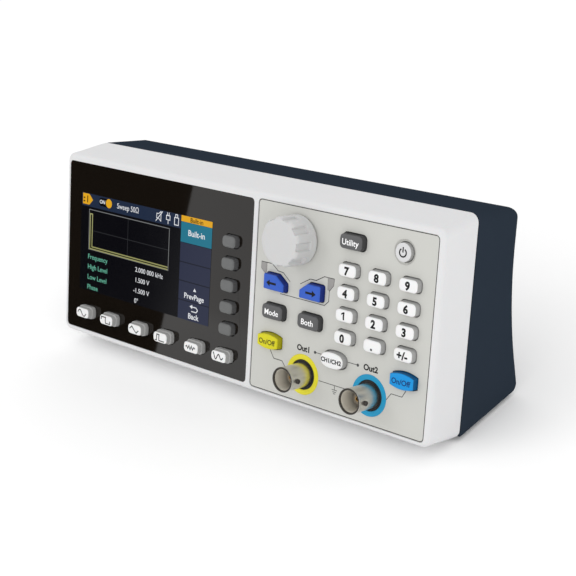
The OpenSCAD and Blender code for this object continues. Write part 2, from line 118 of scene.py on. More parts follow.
def material(name, color, rough, metallic=0.0, specular=0.5, grain=None, mottle=0.0, emit=None,
             subsurface=0.0, stretch=None):
    """A procedural surface: mottled colour, roughness that varies, and a fine moulded grain.

    grain is (feature size, height) in millimetres; stretch scales the grain along x, y and z.
    """
    mat = bpy.data.materials.new(name)
    mat.use_nodes = True
    nodes, links = mat.node_tree.nodes, mat.node_tree.links
    shader = nodes["Principled BSDF"]
    values = {"Base Color": color, "Metallic": metallic, "Specular IOR Level": specular,
              "Subsurface Weight": subsurface, "Subsurface Scale": SUBSURFACE_DEPTH}
    if emit:
        values.update({"Emission Color": emit, "Emission Strength": 1})
    for entry, value in values.items():
        shader.inputs[entry].default_value = value
    place = nodes.new("ShaderNodeTexCoord").outputs["Object"]

    def noise(size, detail, source=place):
        tex = nodes.new("ShaderNodeTexNoise")
        tex.inputs["Scale"].default_value = 1 / (size * MM)
        tex.inputs["Detail"].default_value = detail
        links.new(source, tex.inputs["Vector"])
        return tex.outputs["Fac"]

    vary = nodes.new("ShaderNodeMapRange")
    vary.inputs["To Min"].default_value = rough * 0.85
    vary.inputs["To Max"].default_value = min(1, rough * 1.2)
    links.new(noise(9, 3), vary.inputs["Value"])
    links.new(vary.outputs["Result"], shader.inputs["Roughness"])
    if mottle:
        mix = nodes.new("ShaderNodeMix")
        mix.data_type = "RGBA"
        for entry, scale in (("A", 1 - mottle), ("B", 1 + mottle)):
            mix.inputs[entry].default_value = [min(1, c * scale) for c in color[:3]] + [1]
        links.new(noise(14, 5), mix.inputs["Factor"])
        links.new(mix.outputs["Result"], shader.inputs["Base Color"])
    if grain:
        source = place
        if stretch:
            mapping = nodes.new("ShaderNodeMapping")
            mapping.inputs["Scale"].default_value = stretch
            links.new(place, mapping.inputs["Vector"])
            source = mapping.outputs["Vector"]
        bump = nodes.new("ShaderNodeBump")
        bump.inputs["Distance"].default_value = grain[1] * MM
        links.new(noise(grain[0], 2, source), bump.inputs["Height"])
        links.new(bump.outputs["Normal"], shader.inputs["Normal"])
    return mat


def plastic(name, color, rough=0.45, grain=(0.4, 0.004), mottle=0.015, **more):
    return material(name, color, rough, grain=grain, mottle=mottle, **more)


def cap(name, color, rough=0.42, mottle=0.02):
    """A key's front."""
    return plastic(name, color, rough, mottle=mottle, specular=0.25)


def shaded_cap_sides(name, color):
    """A key's sides: a duller finish, and a darker copy of the front's colour as painted shade."""
    return plastic(name + "_wall", color, 0.5, specular=0.2)


def lit(name, *color):
    """A glowing part of the display; its black glass hardly reflects."""
    return material(name, (0.002, 0.002, 0.003, 1), 0.25, specular=0.12, emit=rgb(*color))


BEZEL = plastic("bezel_plastic", rgb(214, 214, 215), subsurface=0.03, specular=0.2)
PANEL = plastic("panel_plastic", rgb(194, 194, 189), 0.5, grain=(0.3, 0.005), specular=0.3)
CASE = plastic("case_plastic", rgb(42, 50, 60), 0.55, grain=(0.45, 0.012), mottle=0.04,
               specular=0)
WINDOW = material("window_gloss", rgb(20, 16, 12), 0.045, mottle=0.05)
WHITE = plastic("key_white", rgb(229, 229, 229), 0.4, grain=(0.6, 0.002), subsurface=0.04)
# The key sides' colours here are darker copies of the fronts' colours: painted shade.
WHITE_SHADED_SIDES = shaded_cap_sides("key_white", rgb(164, 164, 163))
POWER_GREY = plastic("power_cap", rgb(205, 205, 206), 0.4, grain=(0.6, 0.002))
SOFT_GREY = plastic("softkey_silicone", rgb(104, 105, 105), 0.65, grain=(0.25, 0.004),
                    mottle=0.03, specular=0.2)
# The softkeys' sides, darker than their fronts: painted shade.
SOFT_SHADED_SIDES = plastic("softkey_wall", rgb(86, 86, 87), 0.7, specular=0.15)
DARK = cap("key_dark", rgb(88, 88, 89))
DARK_SHADED_SIDES = shaded_cap_sides("key_dark", rgb(64, 64, 65))
ARROW_BLUE = cap("arrow_blue", rgb(46, 88, 186), 0.4, 0.03)
BLUE_SHADED_SIDES = shaded_cap_sides("arrow_blue", rgb(24, 44, 122))
YELLOW = cap("key_yellow", rgb(206, 199, 20))
YELLOW_SHADED_SIDES = shaded_cap_sides("key_yellow", rgb(170, 164, 20))
CYAN = cap("key_blue", rgb(4, 138, 208))
CYAN_SHADED_SIDES = shaded_cap_sides("key_blue", rgb(2, 80, 128))
RING_YELLOW = cap("ring_yellow", rgb(222, 212, 48), 0.4)
RING_CYAN = cap("ring_blue", rgb(28, 146, 190), 0.4)
KNOB = plastic("knob_plastic", rgb(196, 196, 196), 0.5, subsurface=0.04, specular=0.3)
NICKEL = material("nickel", (0.66, 0.64, 0.58, 1), 0.3, metallic=1, mottle=0.06,
                  grain=(0.5, 0.002), stretch=(1, 9, 1))
# A dark matte stand-in for nickel on the sockets' mouth rims and lug ends: painted shade and
# painted dark reflection.
NICKEL_PAINTED_SHADE = material("nickel_painted_shade", (0.05, 0.045, 0.04, 1), 0.5, mottle=0.1,
                        specular=0.15)
BORE = material("socket_bore", rgb(204, 199, 187), 0.4, mottle=0.06)
GOLD = material("gold", (0.72, 0.42, 0.12, 1), 0.28, metallic=1, mottle=0.05, grain=(0.6, 0.002))
ZINC = material("zinc_steel", (0.5, 0.5, 0.51, 1), 0.36, metallic=1, mottle=0.06,
                grain=(0.8, 0.003))
# The insulators' white is painted a dim brown: painted shade, as they sit deep in the bores.
SHADED_INSULATOR = plastic("insulator_painted_shade", rgb(140, 130, 114), 0.5, subsurface=0.05)
BLACK = plastic("black_plastic", rgb(24, 24, 25), 0.45, grain=(0.4, 0.006), mottle=0.04,
                specular=0.25)
RUBBER = plastic("rubber", rgb(24, 24, 25), 0.8, grain=(0.5, 0.015), mottle=0.06)
SILICONE = plastic("silicone_mat", rgb(64, 64, 66), 0.7, grain=(0.3, 0.004), mottle=0.04)
BOARD = plastic("circuit_board", rgb(18, 84, 44), 0.35, grain=(0.8, 0.006), mottle=0.1)
LCD_GLASS = material("lcd_glass", rgb(10, 12, 16), 0.06, mottle=0.05)
USB_BLUE = plastic("port_tongue", rgb(30, 60, 120), 0.4)

INK = plastic("ink_dark", rgb(66, 68, 68), 0.55, mottle=0.05)
INK_BLACK = plastic("ink_black", rgb(16, 16, 17), 0.5, mottle=0.05, specular=0.2)
INK_WHITE = plastic("ink_white", rgb(250, 250, 250), 0.5)
INK_GREY = plastic("ink_grey", rgb(148, 146, 144), 0.55)
INK_OLIVE = plastic("ink_olive", rgb(74, 72, 14), 0.5, specular=0.2)
INK_NAVY = plastic("ink_navy", rgb(10, 46, 104), 0.5, specular=0.2)
INK_LABEL = plastic("ink_label", rgb(150, 156, 164), 0.55)

LCD_BLACK = lit("screen_black", 1, 1, 3)
LCD_BAR = lit("screen_bar", 30, 42, 64)
LCD_MENU = lit("screen_menu", 40, 45, 66)
LCD_LINE = lit("screen_line", 15, 18, 30)
LCD_TEAL = lit("screen_teal", 30, 113, 136)
LCD_AMBER = lit("screen_amber", 222, 164, 30)
LCD_WHITE = lit("screen_white", 224, 226, 230)
LCD_LABEL = lit("screen_label", 104, 182, 156)
LCD_GREY = lit("screen_grey", 112, 114, 114)
LCD_FAINT = lit("screen_faint", 46, 47, 49)
LCD_TRACE = lit("screen_trace", 150, 150, 96)

# ---- mesh helpers


def add_object(name, data):
    obj = bpy.data.objects.new(name, data)
    bpy.context.scene.collection.objects.link(obj)
    return obj


MERGE = 1e-4


def tidy(mesh, merge=0.0):
    """Faces turned outwards, and points closer than merge joined."""
    bm = bmesh.new()
    bm.from_mesh(mesh)
    if merge:
        bmesh.ops.remove_doubles(bm, verts=bm.verts, dist=merge)
    bmesh.ops.recalc_face_normals(bm, faces=bm.faces)
    bm.to_mesh(mesh)
    bm.free()
    return mesh


def piece(name, mesh, *mats, body="body", place=FACE, sharp=38, replaces=()):
    """Puts a mesh drawn in millimetres into the scene as a piece that rides on a body."""
    tidy(mesh, MERGE)
    mesh.transform(place)
    mesh.shade_smooth()
    mesh.set_sharp_from_angle(angle=math.radians(sharp))
    for mat in mats:
        mesh.materials.append(mat)
    obj = add_object(name, mesh)
    shade = obj.modifiers.new("flat_faces", "WEIGHTED_NORMAL")
    shade.keep_sharp = True
    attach(obj, body)
    if replaces:
        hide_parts(*replaces)


def mesh_of(verts, faces, marks=()):
    """A mesh; marks gives the faces that take the second material."""
    mesh = bpy.data.meshes.new("part")
    mesh.from_pydata([tuple(v) for v in verts], [], faces)
    for i in marks:
        mesh.polygons[i].material_index = 1
    return mesh


def loft(rings, wall_rings=0):
    """A closed skin over rings of equal count; the first wall_rings take the second material."""
    count = len(rings[0])
    verts = [p for ring in rings for p in ring]
    faces = [tuple(range(count)), tuple(range(len(verts) - count, len(verts)))]
    marks = [0] if wall_rings else []
    for i in range(len(rings) - 1):
        a, b = i * count, (i + 1) * count
        for j in range(count):
            k = (j + 1) % count
            if i < wall_rings:
                marks.append(len(faces))
            faces.append((a + j, a + k, b + k, b + j))
    return mesh_of(verts, faces, marks)


AXES = {"out": lambda r, s, c, d: (r * c, -s, r * d), "back": lambda r, s, c, d: (r * c, s, r * d),
        "up": lambda r, s, c, d: (r * c, r * d, s), "side": lambda r, s, c, d: (s, r * c, r * d)}


def lathe(profile, centre, axis="out", steps=64, dark=()):
    """Turns a closed profile of (radius, distance along the axis) about an axis at centre.

    The stretches of the profile numbered in dark take the second material.
    """
    turn = AXES[axis]
    count = len(profile)
    verts, faces, marks = [], [], []
    for i in range(steps):
        a = math.tau * i / steps
        verts += [Vector(centre) + Vector(turn(r, s, math.cos(a), math.sin(a)))
                  for r, s in profile]
        here, there = i * count, (i + 1) % steps * count
        for j in range(count):
            k = (j + 1) % count
            if profile[j][0] < 1e-6 and profile[k][0] < 1e-6:
                continue
            if j in dark:
                marks.append(len(faces))
            faces.append((here + j, here + k, there + k, there + j))
    return tidy(mesh_of(verts, faces, marks), MERGE)


def arc(cx, cy, r, start, end, steps=5):
    """Points on an arc, with angles in degrees."""
    angles = [math.radians(start + (end - start) * i / steps) for i in range(steps + 1)]
    return [(cx + r * math.cos(a), cy + r * math.sin(a)) for a in angles]


def prism(outline, y0, y1):
    """A solid between y0 and y1 over an outline of (x, z)."""
    return loft([[(x, y, z) for x, z in outline] for y in (y0, y1)])


def rod(x, z, r, y0, y1, steps=48):
    return prism(circle(x, z, r, steps), y0, y1)


def block(low, high):
    (x0, y0, z0), (x1, y1, z1) = low, high
    return prism(area(x0, z0, x1, z1), y0, y1)


def moved(mesh, matrix):
    mesh.transform(matrix)
    return mesh


def joined(meshes):
    """One mesh out of several."""
    bm = bmesh.new()
    for mesh in meshes:
        bm.from_mesh(mesh)
    out = bpy.data.meshes.new("part")
    bm.to_mesh(out)
    bm.free()
    return out


def loose(mesh):
    """A temporary object for a boolean or a modifier."""
    return add_object("loose", tidy(mesh))


def applied(obj):
    """The mesh that an object's modifiers make; the object is removed."""
    graph = bpy.context.evaluated_depsgraph_get()
    mesh = bpy.data.meshes.new_from_object(obj.evaluated_get(graph))
    bpy.data.objects.remove(obj)
    return mesh


def carve(mesh, cutters, operation="DIFFERENCE"):
    """mesh with each cutter taken away, or kept in common with it."""
    obj = loose(mesh)
    tools = [loose(c) for c in cutters]
    for tool in tools:
        mod = obj.modifiers.new("cut", "BOOLEAN")
        mod.operation = operation
        mod.solver = "EXACT"
        mod.object = tool
    mesh = applied(obj)
    for tool in tools:
        bpy.data.objects.remove(tool)
    return mesh


def rounded(mesh, edge, segments=2):
    """mesh with its sharp edges rounded."""
    obj = loose(mesh)
    mod = obj.modifiers.new("round", "BEVEL")
    mod.width = edge
    mod.segments = segments
    mod.limit_method = "ANGLE"
    mod.angle_limit = math.radians(40)
    return applied(obj)


# ---- outlines, as (x, z) points


def inset_polygon(points, d):
    """A convex anticlockwise polygon moved inwards by d."""
    lines = []
    for i, (ax, ay) in enumerate(points):
        bx, by = points[(i + 1) % len(points)]
        length = math.hypot(bx - ax, by - ay)
        nx, ny = -(by - ay) / length, (bx - ax) / length
        lines.append((nx, ny, nx * ax + ny * ay + d))
    out = []
    for i, (a2, b2, c2) in enumerate(lines):
        a1, b1, c1 = lines[i - 1]
        det = a1 * b2 - a2 * b1
        out.append(((c1 * b2 - c2 * b1) / det, (a1 * c2 - a2 * c1) / det))
    return out


def round_corners(points, r, steps=6):
    """A convex anticlockwise polygon with its corners rounded to radius r."""
    centres = inset_polygon(points, r)
    out = []
    for i, (qx, qy) in enumerate(points):
        (px, py), (sx, sy) = points[i - 1], points[(i + 1) % len(points)]
        start = math.degrees(math.atan2(qy - py, qx - px)) - 90
        end = math.degrees(math.atan2(sy - qy, sx - qx)) - 90
        out += arc(*centres[i], r, start, end + 360 * (end < start), steps)
    return out


def area(x0, z0, x1, z1):
    return [(x0, z0), (x1, z0), (x1, z1), (x0, z1)]


def rect(w, h):
    return area(-w / 2, -h / 2, w / 2, h / 2)


def shifted(points, x, z):
    return [(px + x, pz + z) for px, pz in points]


def round_rect(x, z, w, h, r, steps=6):
    return shifted(round_corners(rect(w, h), r, steps), x, z)


def round_box(low, high, grow, r):
    """A rounded rectangle round a box, grown on every side."""
    return round_rect(*middle(low, high), high.x - low.x + 2 * grow, high.z - low.z + 2 * grow, r)


def circle(x, z, r, steps=32):
    return arc(x, z, r, 0, 360 * (steps - 1) / steps, steps - 1)


def ribbon(points, width, closed=False):
    """Quads that draw a line of some width through points, mitred at the corners."""
    pts = [Vector(p) for p in points]
    n = len(pts)
    sides = []
    for i in range(n):
        before = pts[i] - pts[i - 1] if (i or closed) else pts[1] - pts[0]
        after = pts[(i + 1) % n] - pts[i] if (i < n - 1 or closed) else before
        d0, d1 = before.normalized(), after.normalized()
        square = Vector((-d0.y, d0.x))
        normal = Vector((-(d0 + d1).y, (d0 + d1).x))
        normal = normal.normalized() if normal.length > 1e-6 else square
        reach = width / 2 / max(0.35, normal.dot(square))
        sides.append((pts[i] + normal * reach, pts[i] - normal * reach))
    quads = []
    for i in range(n if closed else n - 1):
        (a, b), (c, d) = sides[i], sides[(i + 1) % n]
        quads.append([tuple(b), tuple(d), tuple(c), tuple(a)])
    return quads


def lettering(text, size, x, z, align="CENTER", weight=0.0, squeeze=1.0):
    """Flat letters as a mesh in (x, 0, z), with their baseline at z; squeeze scales their x."""
    curve = bpy.data.curves.new("letters", "FONT")
    curve.body = text
    curve.size = size
    curve.align_x = align
    curve.offset = weight
    curve.resolution_u = 4
    obj = add_object("letters", curve)
    bpy.context.view_layer.update()
    mesh = applied(obj)
    mesh.transform(Matrix(((squeeze, 0, 0, x), (0, 0, -1, 0), (0, 1, 0, z), (0, 0, 0, 1))))
    return mesh


SLICE = 0.6


def sliced(bm):
    """Cuts flat shapes into small cells, so that they can follow a crowned surface."""
    for normal in (Vector((1, 0, 0)), Vector((0, 0, 1))):
        places = [v.co.dot(normal) for v in bm.verts]
        low, high = min(places), max(places)
        for i in range(1, math.ceil((high - low) / SLICE)):
            bmesh.ops.bisect_plane(bm, geom=bm.verts[:] + bm.edges[:] + bm.faces[:],
                                   plane_co=normal * (low + i * SLICE), plane_no=normal)


def print_on(name, mat, y, shapes=(), letters=(), body="body", fall=None, rise=0.02, place=FACE,
             outward=-1):
    """Ink or lit shapes: thin solids over outlines and letters, with their backs at y.

    fall(x, z) says how far a crowned surface falls away below its middle.
    """
    bm = bmesh.new()
    for shape in shapes:
        bm.faces.new([bm.verts.new((x, 0, z)) for x, z in shape])
    for mesh in letters:
        bm.from_mesh(mesh)
    if fall:
        sliced(bm)
    for face in bm.faces:
        face.normal_update()
        if face.normal.y * outward < 0:
            face.normal_flip()
    grown = bmesh.ops.extrude_face_region(bm, geom=bm.faces[:], use_keep_orig=True)
    top = {v for v in grown["geom"] if isinstance(v, bmesh.types.BMVert)}
    for v in bm.verts:
        v.co.y = y + (outward * rise if v in top else 0) + (fall(v.co.x, v.co.z) if fall else 0)
    mesh = bpy.data.meshes.new(name)
    bm.to_mesh(mesh)
    bm.free()
    piece(name, mesh, mat, body=body, place=place, sharp=20)


# ---- camera, light and floor

CAMERA_AT = Vector((367.2, -379.9, 162.6))
CAMERA_AIM = Vector((32.2, 0, 43.7))
CAMERA_ROLL = math.radians(-3.38)
CAMERA_LENS = 83.6


def add_camera():
    data = bpy.data.cameras.new("camera")
    data.lens = CAMERA_LENS
    data.sensor_width = 36
    data.clip_start, data.clip_end = 0.01, 20
    obj = add_object("camera", data)
    back = (CAMERA_AT - CAMERA_AIM).normalized()
    side = Vector((0, 0, 1)).cross(back).normalized()
    axes = Matrix((side, back.cross(side), back)).transposed().to_4x4()
    roll = Matrix.Rotation(-CAMERA_ROLL, 4, "Z")
    obj.matrix_world = Matrix.Translation(FACE @ CAMERA_AT) @ FACE_ROT.to_4x4() @ axes @ roll
    bpy.context.scene.camera = obj


def area_light(name, at, aim, size, power):
    data = bpy.data.lights.new(name, "AREA")
    data.shape = "RECTANGLE"
    data.size, data.size_y = size
    data.energy = power
    obj = add_object(name, data)
    obj.location = at
    obj.rotation_mode = "QUATERNION"
    obj.rotation_quaternion = (Vector(aim) - Vector(at)).to_track_quat("-Z", "Y")


# The window mirrors a black studio card that ends at a slant: points on the window, in x from
# its left edge and z, that the card's edge passes through.
CARD_EDGE = [(55, -20), (80, 80)]
CARD_REACH = 0.2


def add_card():
    """A black card that only reflections see, where the window mirrors it to the camera."""
    mirrored = Vector((CAMERA_AT.x, -CAMERA_AT.y, CAMERA_AT.z))
    corners = [(-90, -20), *CARD_EDGE, (-90, 80)]
    points = [Vector((WINDOW_X + x, FACE_Y, z)) for x, z in corners]
    mesh = mesh_of([p + (p - mirrored) * CARD_REACH for p in points], [(0, 1, 2, 3)])
    mesh.transform(FACE)
    mesh.materials.append(material("card_black", (0.004, 0.004, 0.004, 1), 0.9, specular=0))
    obj = add_object("studio_card", mesh)
    obj.visible_camera = obj.visible_diffuse = obj.visible_shadow = False


WORLD_LIGHT = 0.98
KEY_LIGHT = 1.6
SIDE_LIGHT = 0.4


def add_studio():
    half = 6
    corners = area(-half, -half, half, half)
    floor = mesh_of([(x, y, 0) for x, y in corners], [(0, 1, 2, 3)])
    floor.materials.append(material("floor_pale", rgb(255, 255, 255), 0.9, specular=0))
    add_object("floor", floor)
    world = bpy.data.worlds.new("studio")
    bpy.context.scene.world = world
    world.use_nodes = True
    background = world.node_tree.nodes["Background"]
    background.inputs["Color"].default_value = (1, 1, 1, 1)
    background.inputs["Strength"].default_value = WORLD_LIGHT
    area_light("key_light", (-0.55, -0.75, 0.75), (0, 0, 0.04), (0.5, 0.5), KEY_LIGHT)
    area_light("side_light", (0.5, -0.3, 0.22), (0.08, 0, 0.04), (0.3, 0.3), SIDE_LIGHT)
    bpy.context.scene.view_settings.view_transform = "Standard"


# ---- bezel and rear case

BEZEL_LOW, BEZEL_HIGH = face_box("front_bezel")
HALF_W = BEZEL_HIGH.x
BEZEL_D = BEZEL_HIGH.y
CASE_TOP = BEZEL_HIGH.z
CASE_Y = face_box("rear_case")[0].y
BEZEL_TOP = 79.3
BEZEL_BOTTOM = -2.4
TOP_EDGE = ((1.8, 8, 14, BEZEL_D), (BEZEL_TOP, 80.4, 81.7, CASE_TOP))
BOTTOM_EDGE = ((2.8, BEZEL_D), (BEZEL_BOTTOM, BEZEL_LOW.z))
BASE_Z = row_box("rear_case")[0].z
WALL = 2.2
FRONT_ROUND = 1.85
PLATE_CORNER = 1.8
PLATE_LEDGE = 1.6
BEZEL_CORNER = 3.6
CASE_CORNER = 4.1


def bezel_ring(y, inset):
    """The bezel's outline at depth y, moved inwards by inset."""
    low = float(np.interp(y, *BOTTOM_EDGE)) + inset
    high = float(np.interp(y, *TOP_EDGE)) - inset
    corner = BEZEL_CORNER - inset * 0.6
    outline = round_rect(0, (low + high) / 2, 2 * (HALF_W - inset), high - low, corner, 8)
    return [(x, y, z) for x, z in outline]


def make_bezel():
    turn = np.radians(np.linspace(90, 0, 7))
    r = FRONT_ROUND
    rings = [bezel_ring(r * (1 - math.sin(a)), r * (1 - math.cos(a))) for a in turn]
    rings += [bezel_ring(y, 0) for y in np.linspace(4, BEZEL_D - 0.4, 5)]
    rings.append(bezel_ring(BEZEL_D, 0.3))
    inside = (BEZEL_TOP + BEZEL_BOTTOM) / 2
    height = BEZEL_TOP - BEZEL_BOTTOM - 2 * WALL
    cutters = [prism(round_rect(0, inside, 2 * (HALF_W - WALL), height, 2.5), 3.2, 60)]
    for low, high in ((WINDOW_LOW, WINDOW_HIGH), (PANEL_LOW, PANEL_HIGH)):
        cutters.append(prism(round_box(low, high, PLATE_GAP, PLATE_CORNER), -1, high.y))
        cutters.append(prism(round_box(low, high, PLATE_GAP - PLATE_LEDGE, 1), -1, 8))
    mesh = rounded(carve(loft(rings), cutters), 0.22)
    piece("front_bezel_shell", mesh, BEZEL, replaces=["front_bezel"])


REAR_Y = 45.75
REAR_D = 57.5
REAR_R = 150
BASE_DROP = 8.2
LOW_R = 3
TOP_R = 3
CASE_EDGE = 1.0


def case_outline(g):
    """Side view (y, z) of the rear case, inset by g."""
    c, s, lean = math.cos(LEAN), math.sin(LEAN), math.degrees(LEAN)
    centre = (REAR_Y + REAR_R, (REAR_D + REAR_R - (REAR_Y + REAR_R) * c) / s)
    ly, lz = REAR_D - g - LOW_R, g + LOW_R - BASE_DROP
    front = (CASE_Y * s - BASE_DROP + g) / c
    return ([(CASE_Y - g, front - g * s / c)]
            + arc(ly * c - lz * s, ly * s + lz * c, LOW_R, lean - 90, lean, 8)
            + arc(*centre, REAR_R + g, 180 + lean, 180, 18)
            + arc(REAR_Y - TOP_R, CASE_TOP - TOP_R, max(TOP_R - g, 0.3), 0, 90, 8)
            + [(CASE_Y - g, CASE_TOP - g)])


def case_body(g):
    side = loft([[(x, y, z) for y, z in case_outline(g)] for x in (-HALF_W - 1, HALF_W + 1)])
    front = prism(round_rect(0, CASE_TOP / 2 - 4, 2 * (HALF_W - g), CASE_TOP + 8 - 2 * g,
                             CASE_CORNER - g / 2, 10), CASE_Y - g, 70)
    return carve(side, [front], "INTERSECT")


BAY = row_box("dc_inlet")
BAY_Y = BAY[1].y - 0.4
BAY_HALF = 78
BAY_Z = (11, 45)
PORT_Z = middle(*BAY)[1]


def bay(g):
    return moved(block((-BAY_HALF - g, BAY_Y - g, BAY_Z[0] - g),
                       (BAY_HALF + g, BAY_Y + 40, BAY_Z[1] + g)), ROW_TO_FACE)


USB_A, USB_B, DC = 12, -16, 58
PORTS = ((USB_A, 14.6, 7.2), (USB_B, 12.6, 11.4), (DC, 10.4, 12.4))
LOCK = ((-93.5, BAY_Y - 15, 11), (-86.5, BAY_Y + 15, 14))
VENT_PITCH = 7.2
VENTS = [(i - 7.5) * VENT_PITCH for i in range(16)]
VENT_Z = 63
SCREWS = [(x, z) for x in (-98, 98) for z in (17, 71)]
SCREW_SEAT = 24
POST_R = 4.6
HEAD_HOLE_R = 3.2
THREAD_HOLE_R = 1.7


def make_case():
    posts = [rod(x, z, POST_R, CASE_Y, 70) for x, z in SCREWS]
    hollow = carve(case_body(WALL), [bay(WALL), *posts])
    cutters = [hollow, bay(0)]
    cutters += [rod(x, z, HEAD_HOLE_R, SCREW_SEAT, 80) for x, z in SCREWS]
    cutters += [rod(x, z, THREAD_HOLE_R, CASE_Y - 1, 30) for x, z in SCREWS]
    cutters += [prism(round_rect(x, VENT_Z, 2.2, 10, 1.05, 4), 40, 70) for x in VENTS]
    holes = [prism(round_rect(x, PORT_Z, w, h, 0.6), BAY_Y - 10, BAY_Y + 10)
             for x, w, h in PORTS]
    cutters += [moved(hole, ROW_TO_FACE) for hole in (*holes, block(*LOCK))]
    mesh = rounded(carve(rounded(case_body(0), CASE_EDGE, 3), cutters), 0.25)
    piece("rear_case_shell", mesh, CASE, replaces=["rear_case"])


# ---- keys

ARROW_CUT = (4.2, 3.1)
BARREL_END = 0.33
OVAL_POWER = 2 / 2.5
FLANGE_GROW = 0.9
FLANGE_T = 0.8
PAD_CORNER = 1.7


def key_outline(kind, w, h, inset):
    """A key's outline, moved inwards by inset; its count of points doesn't depend on inset."""
    if kind == "pad":
        corner = PAD_CORNER - inset * (0.45 if inset > 0 else 1)
        return round_corners(inset_polygon(rect(w, h), inset), corner)
    if kind in ("left", "right"):
        side = 1 if kind == "left" else -1
        points = [(-side * w / 2, -h / 2), (side * w / 2, -h / 2),
                  (side * w / 2, h / 2 - ARROW_CUT[1]), (side * (w / 2 - ARROW_CUT[0]), h / 2),
                  (-side * w / 2, h / 2)]
        if side < 0:
            points.reverse()
        return round_corners(inset_polygon(points, inset), max(0.8 - inset, 0.25))
    w, h = w - 2 * inset, h - 2 * inset
    if kind == "barrel":
        top = [1 - i / 7 for i in range(15)]
        edge = [h * (0.5 - (0.5 - BARREL_END) * u * u) for u in top]
        return ([(u * w / 2, e) for u, e in zip(top, edge)]
                + [(-u * w / 2, -e) for u, e in zip(top, edge)])
    power = OVAL_POWER if kind == "oval" else 1
    out = []
    for i in range(56):
        c, s = math.cos(math.tau * i / 56), math.sin(math.tau * i / 56)
        out.append((math.copysign(abs(c) ** power, c) * w / 2,
                    math.copysign(abs(s) ** power, s) * h / 2))
    return out


SOFTKEYS = [f"softkey_{i}" for i in range(1, 6)]
WAVES = ["wave_sine", "wave_square", "wave_ramp", "wave_pulse", "wave_noise", "wave_arbitrary"]
WINDOW_KEYS = SOFTKEYS + WAVES
NUMBERS = [f"digit_{i}" for i in range(10)] + ["point_key", "sign_key"]
FUNCTIONS = ["utility_key", "mode_key", "both_key"]
KINDS = {"power_button": "disc", "arrow_left": "left", "arrow_right": "right",
         "out1_key": "barrel", "out2_key": "barrel", "channel_key": "oval"}
# Each key's front colour, and the colour of its sides, which are darker as painted shade.
KEY_COLORS = {**{k: (SOFT_GREY, SOFT_SHADED_SIDES) for k in SOFTKEYS},
              **{k: (WHITE, WHITE_SHADED_SIDES) for k in WAVES + NUMBERS},
              **{k: (DARK, DARK_SHADED_SIDES) for k in FUNCTIONS},
              "power_button": (POWER_GREY, WHITE_SHADED_SIDES), "channel_key": (WHITE, WHITE_SHADED_SIDES),
              "arrow_left": (ARROW_BLUE, BLUE_SHADED_SIDES), "arrow_right": (ARROW_BLUE, BLUE_SHADED_SIDES),
              "out1_key": (YELLOW, YELLOW_SHADED_SIDES), "out2_key": (CYAN, CYAN_SHADED_SIDES)}


class Key:
    """A key's place, size and shape of cap; place and size come from its CAD node."""

    def __init__(self, node):
        low, high = face_box(node)
        self.kind = KINDS.get(node, "pad")
        self.x, self.z = middle(low, high)
        self.w = high.x - low.x - 2 * FLANGE_GROW
        self.h = high.z - low.z - 2 * FLANGE_GROW
        self.front, self.back = low.y, high.y
        self.crown, self.edge, self.draft, self.step = 0.16, 0.75, 0.2, 0.0
        if node in SOFTKEYS:
            self.crown, self.edge = 0.1, 0.9
        if node == "power_button":
            self.crown, self.edge, self.draft = 0.05, 0.35, 0.05
        if node in WAVES:
            self.step, self.edge = 0.36, 0.55
        self.flat = self.step + self.draft + self.edge

    def ring(self, inset, y, scale=1.0):
        points = key_outline(self.kind, self.w, self.h, inset)
        return [(self.x + px * scale, y, self.z + pz * scale) for px, pz in points]

    def fall(self, x, z):
        """How far the crowned front falls away at a point."""
        u = abs(x - self.x) / (self.w / 2 - self.flat)
        v = abs(z - self.z) / (self.h / 2 - self.flat)
        reach = math.hypot(u, v) if self.kind in ("disc", "oval") else max(u, v)
        return self.crown * min(reach, 1) ** 2

    def mesh(self):
        flange = self.back - FLANGE_T
        rings = [self.ring(-FLANGE_GROW, self.back), self.ring(-FLANGE_GROW, flange),
                 self.ring(0, flange)]
        if self.step:
            collar = FACE_Y - 1.7
            rings += [self.ring(0, collar + 0.3), self.ring(0.1, collar + 0.08),
                      self.ring(0.3, collar), self.ring(self.step, collar - 0.1)]
        start, top = self.step + self.draft, self.front + self.crown
        rings.append(self.ring(start, top + self.edge))
        # The rings so far make the sides, which take the second material: painted shade.
        walls = len(rings)
        r = self.edge
        for a in np.radians([22, 45, 67, 90]):
            rings.append(self.ring(start + r * (1 - math.cos(a)), top + r * (1 - math.sin(a))))
        for k in (0.85, 0.65, 0.4, 0.15):
            rings.append(self.ring(self.flat, self.front + self.crown * k * k, k))
        return loft(rings, walls)


KEYS = {node: Key(node) for node in KEY_COLORS}


def key_legend(node, mat, shapes=(), letters=()):
    key = KEYS[node]
    print_on(f"{node}_legend", mat, key.front - 0.003, shapes, letters, body=node, fall=key.fall,
             rise=0.015)


CAP_HEIGHT = 0.36


def key_text(node, text, size, mat, weight):
    key = KEYS[node]
    word = lettering(text, size, key.x, key.z - size * CAP_HEIGHT, weight=weight)
    key_legend(node, mat, letters=[word])


def arrow_shapes(x, z, side):
    """A straight arrow that points to the side: 1 right, -1 left."""
    shaft = area(x - side * 2.5, z - 0.45, x + side, z + 0.45)
    head = [(x + side * 0.8, z - 1.35), (x + side * 2.7, z), (x + side * 0.8, z + 1.35)]
    return [shaft, head]


# Waveforms drawn with straight lines, from -1 to 1 both ways.
NOISE = (0, 0.4, -0.4, 0.6, -0.6, 0.6, -0.5, 0.4, 0)
WAVE_CORNERS = {"square": [(-1, 0), (-1, 1), (0, 1), (0, -1), (1, -1), (1, 0)],
                "ramp": [(-1, 0), (-0.5, 1), (0.5, -1), (1, 0)],
                "pulse": [(-1, -1), (-0.6, -1), (-0.6, 1), (-0.1, 1), (-0.1, -1), (1, -1)],
                "noise": [(i / 4 - 1, v) for i, v in enumerate(NOISE)]}


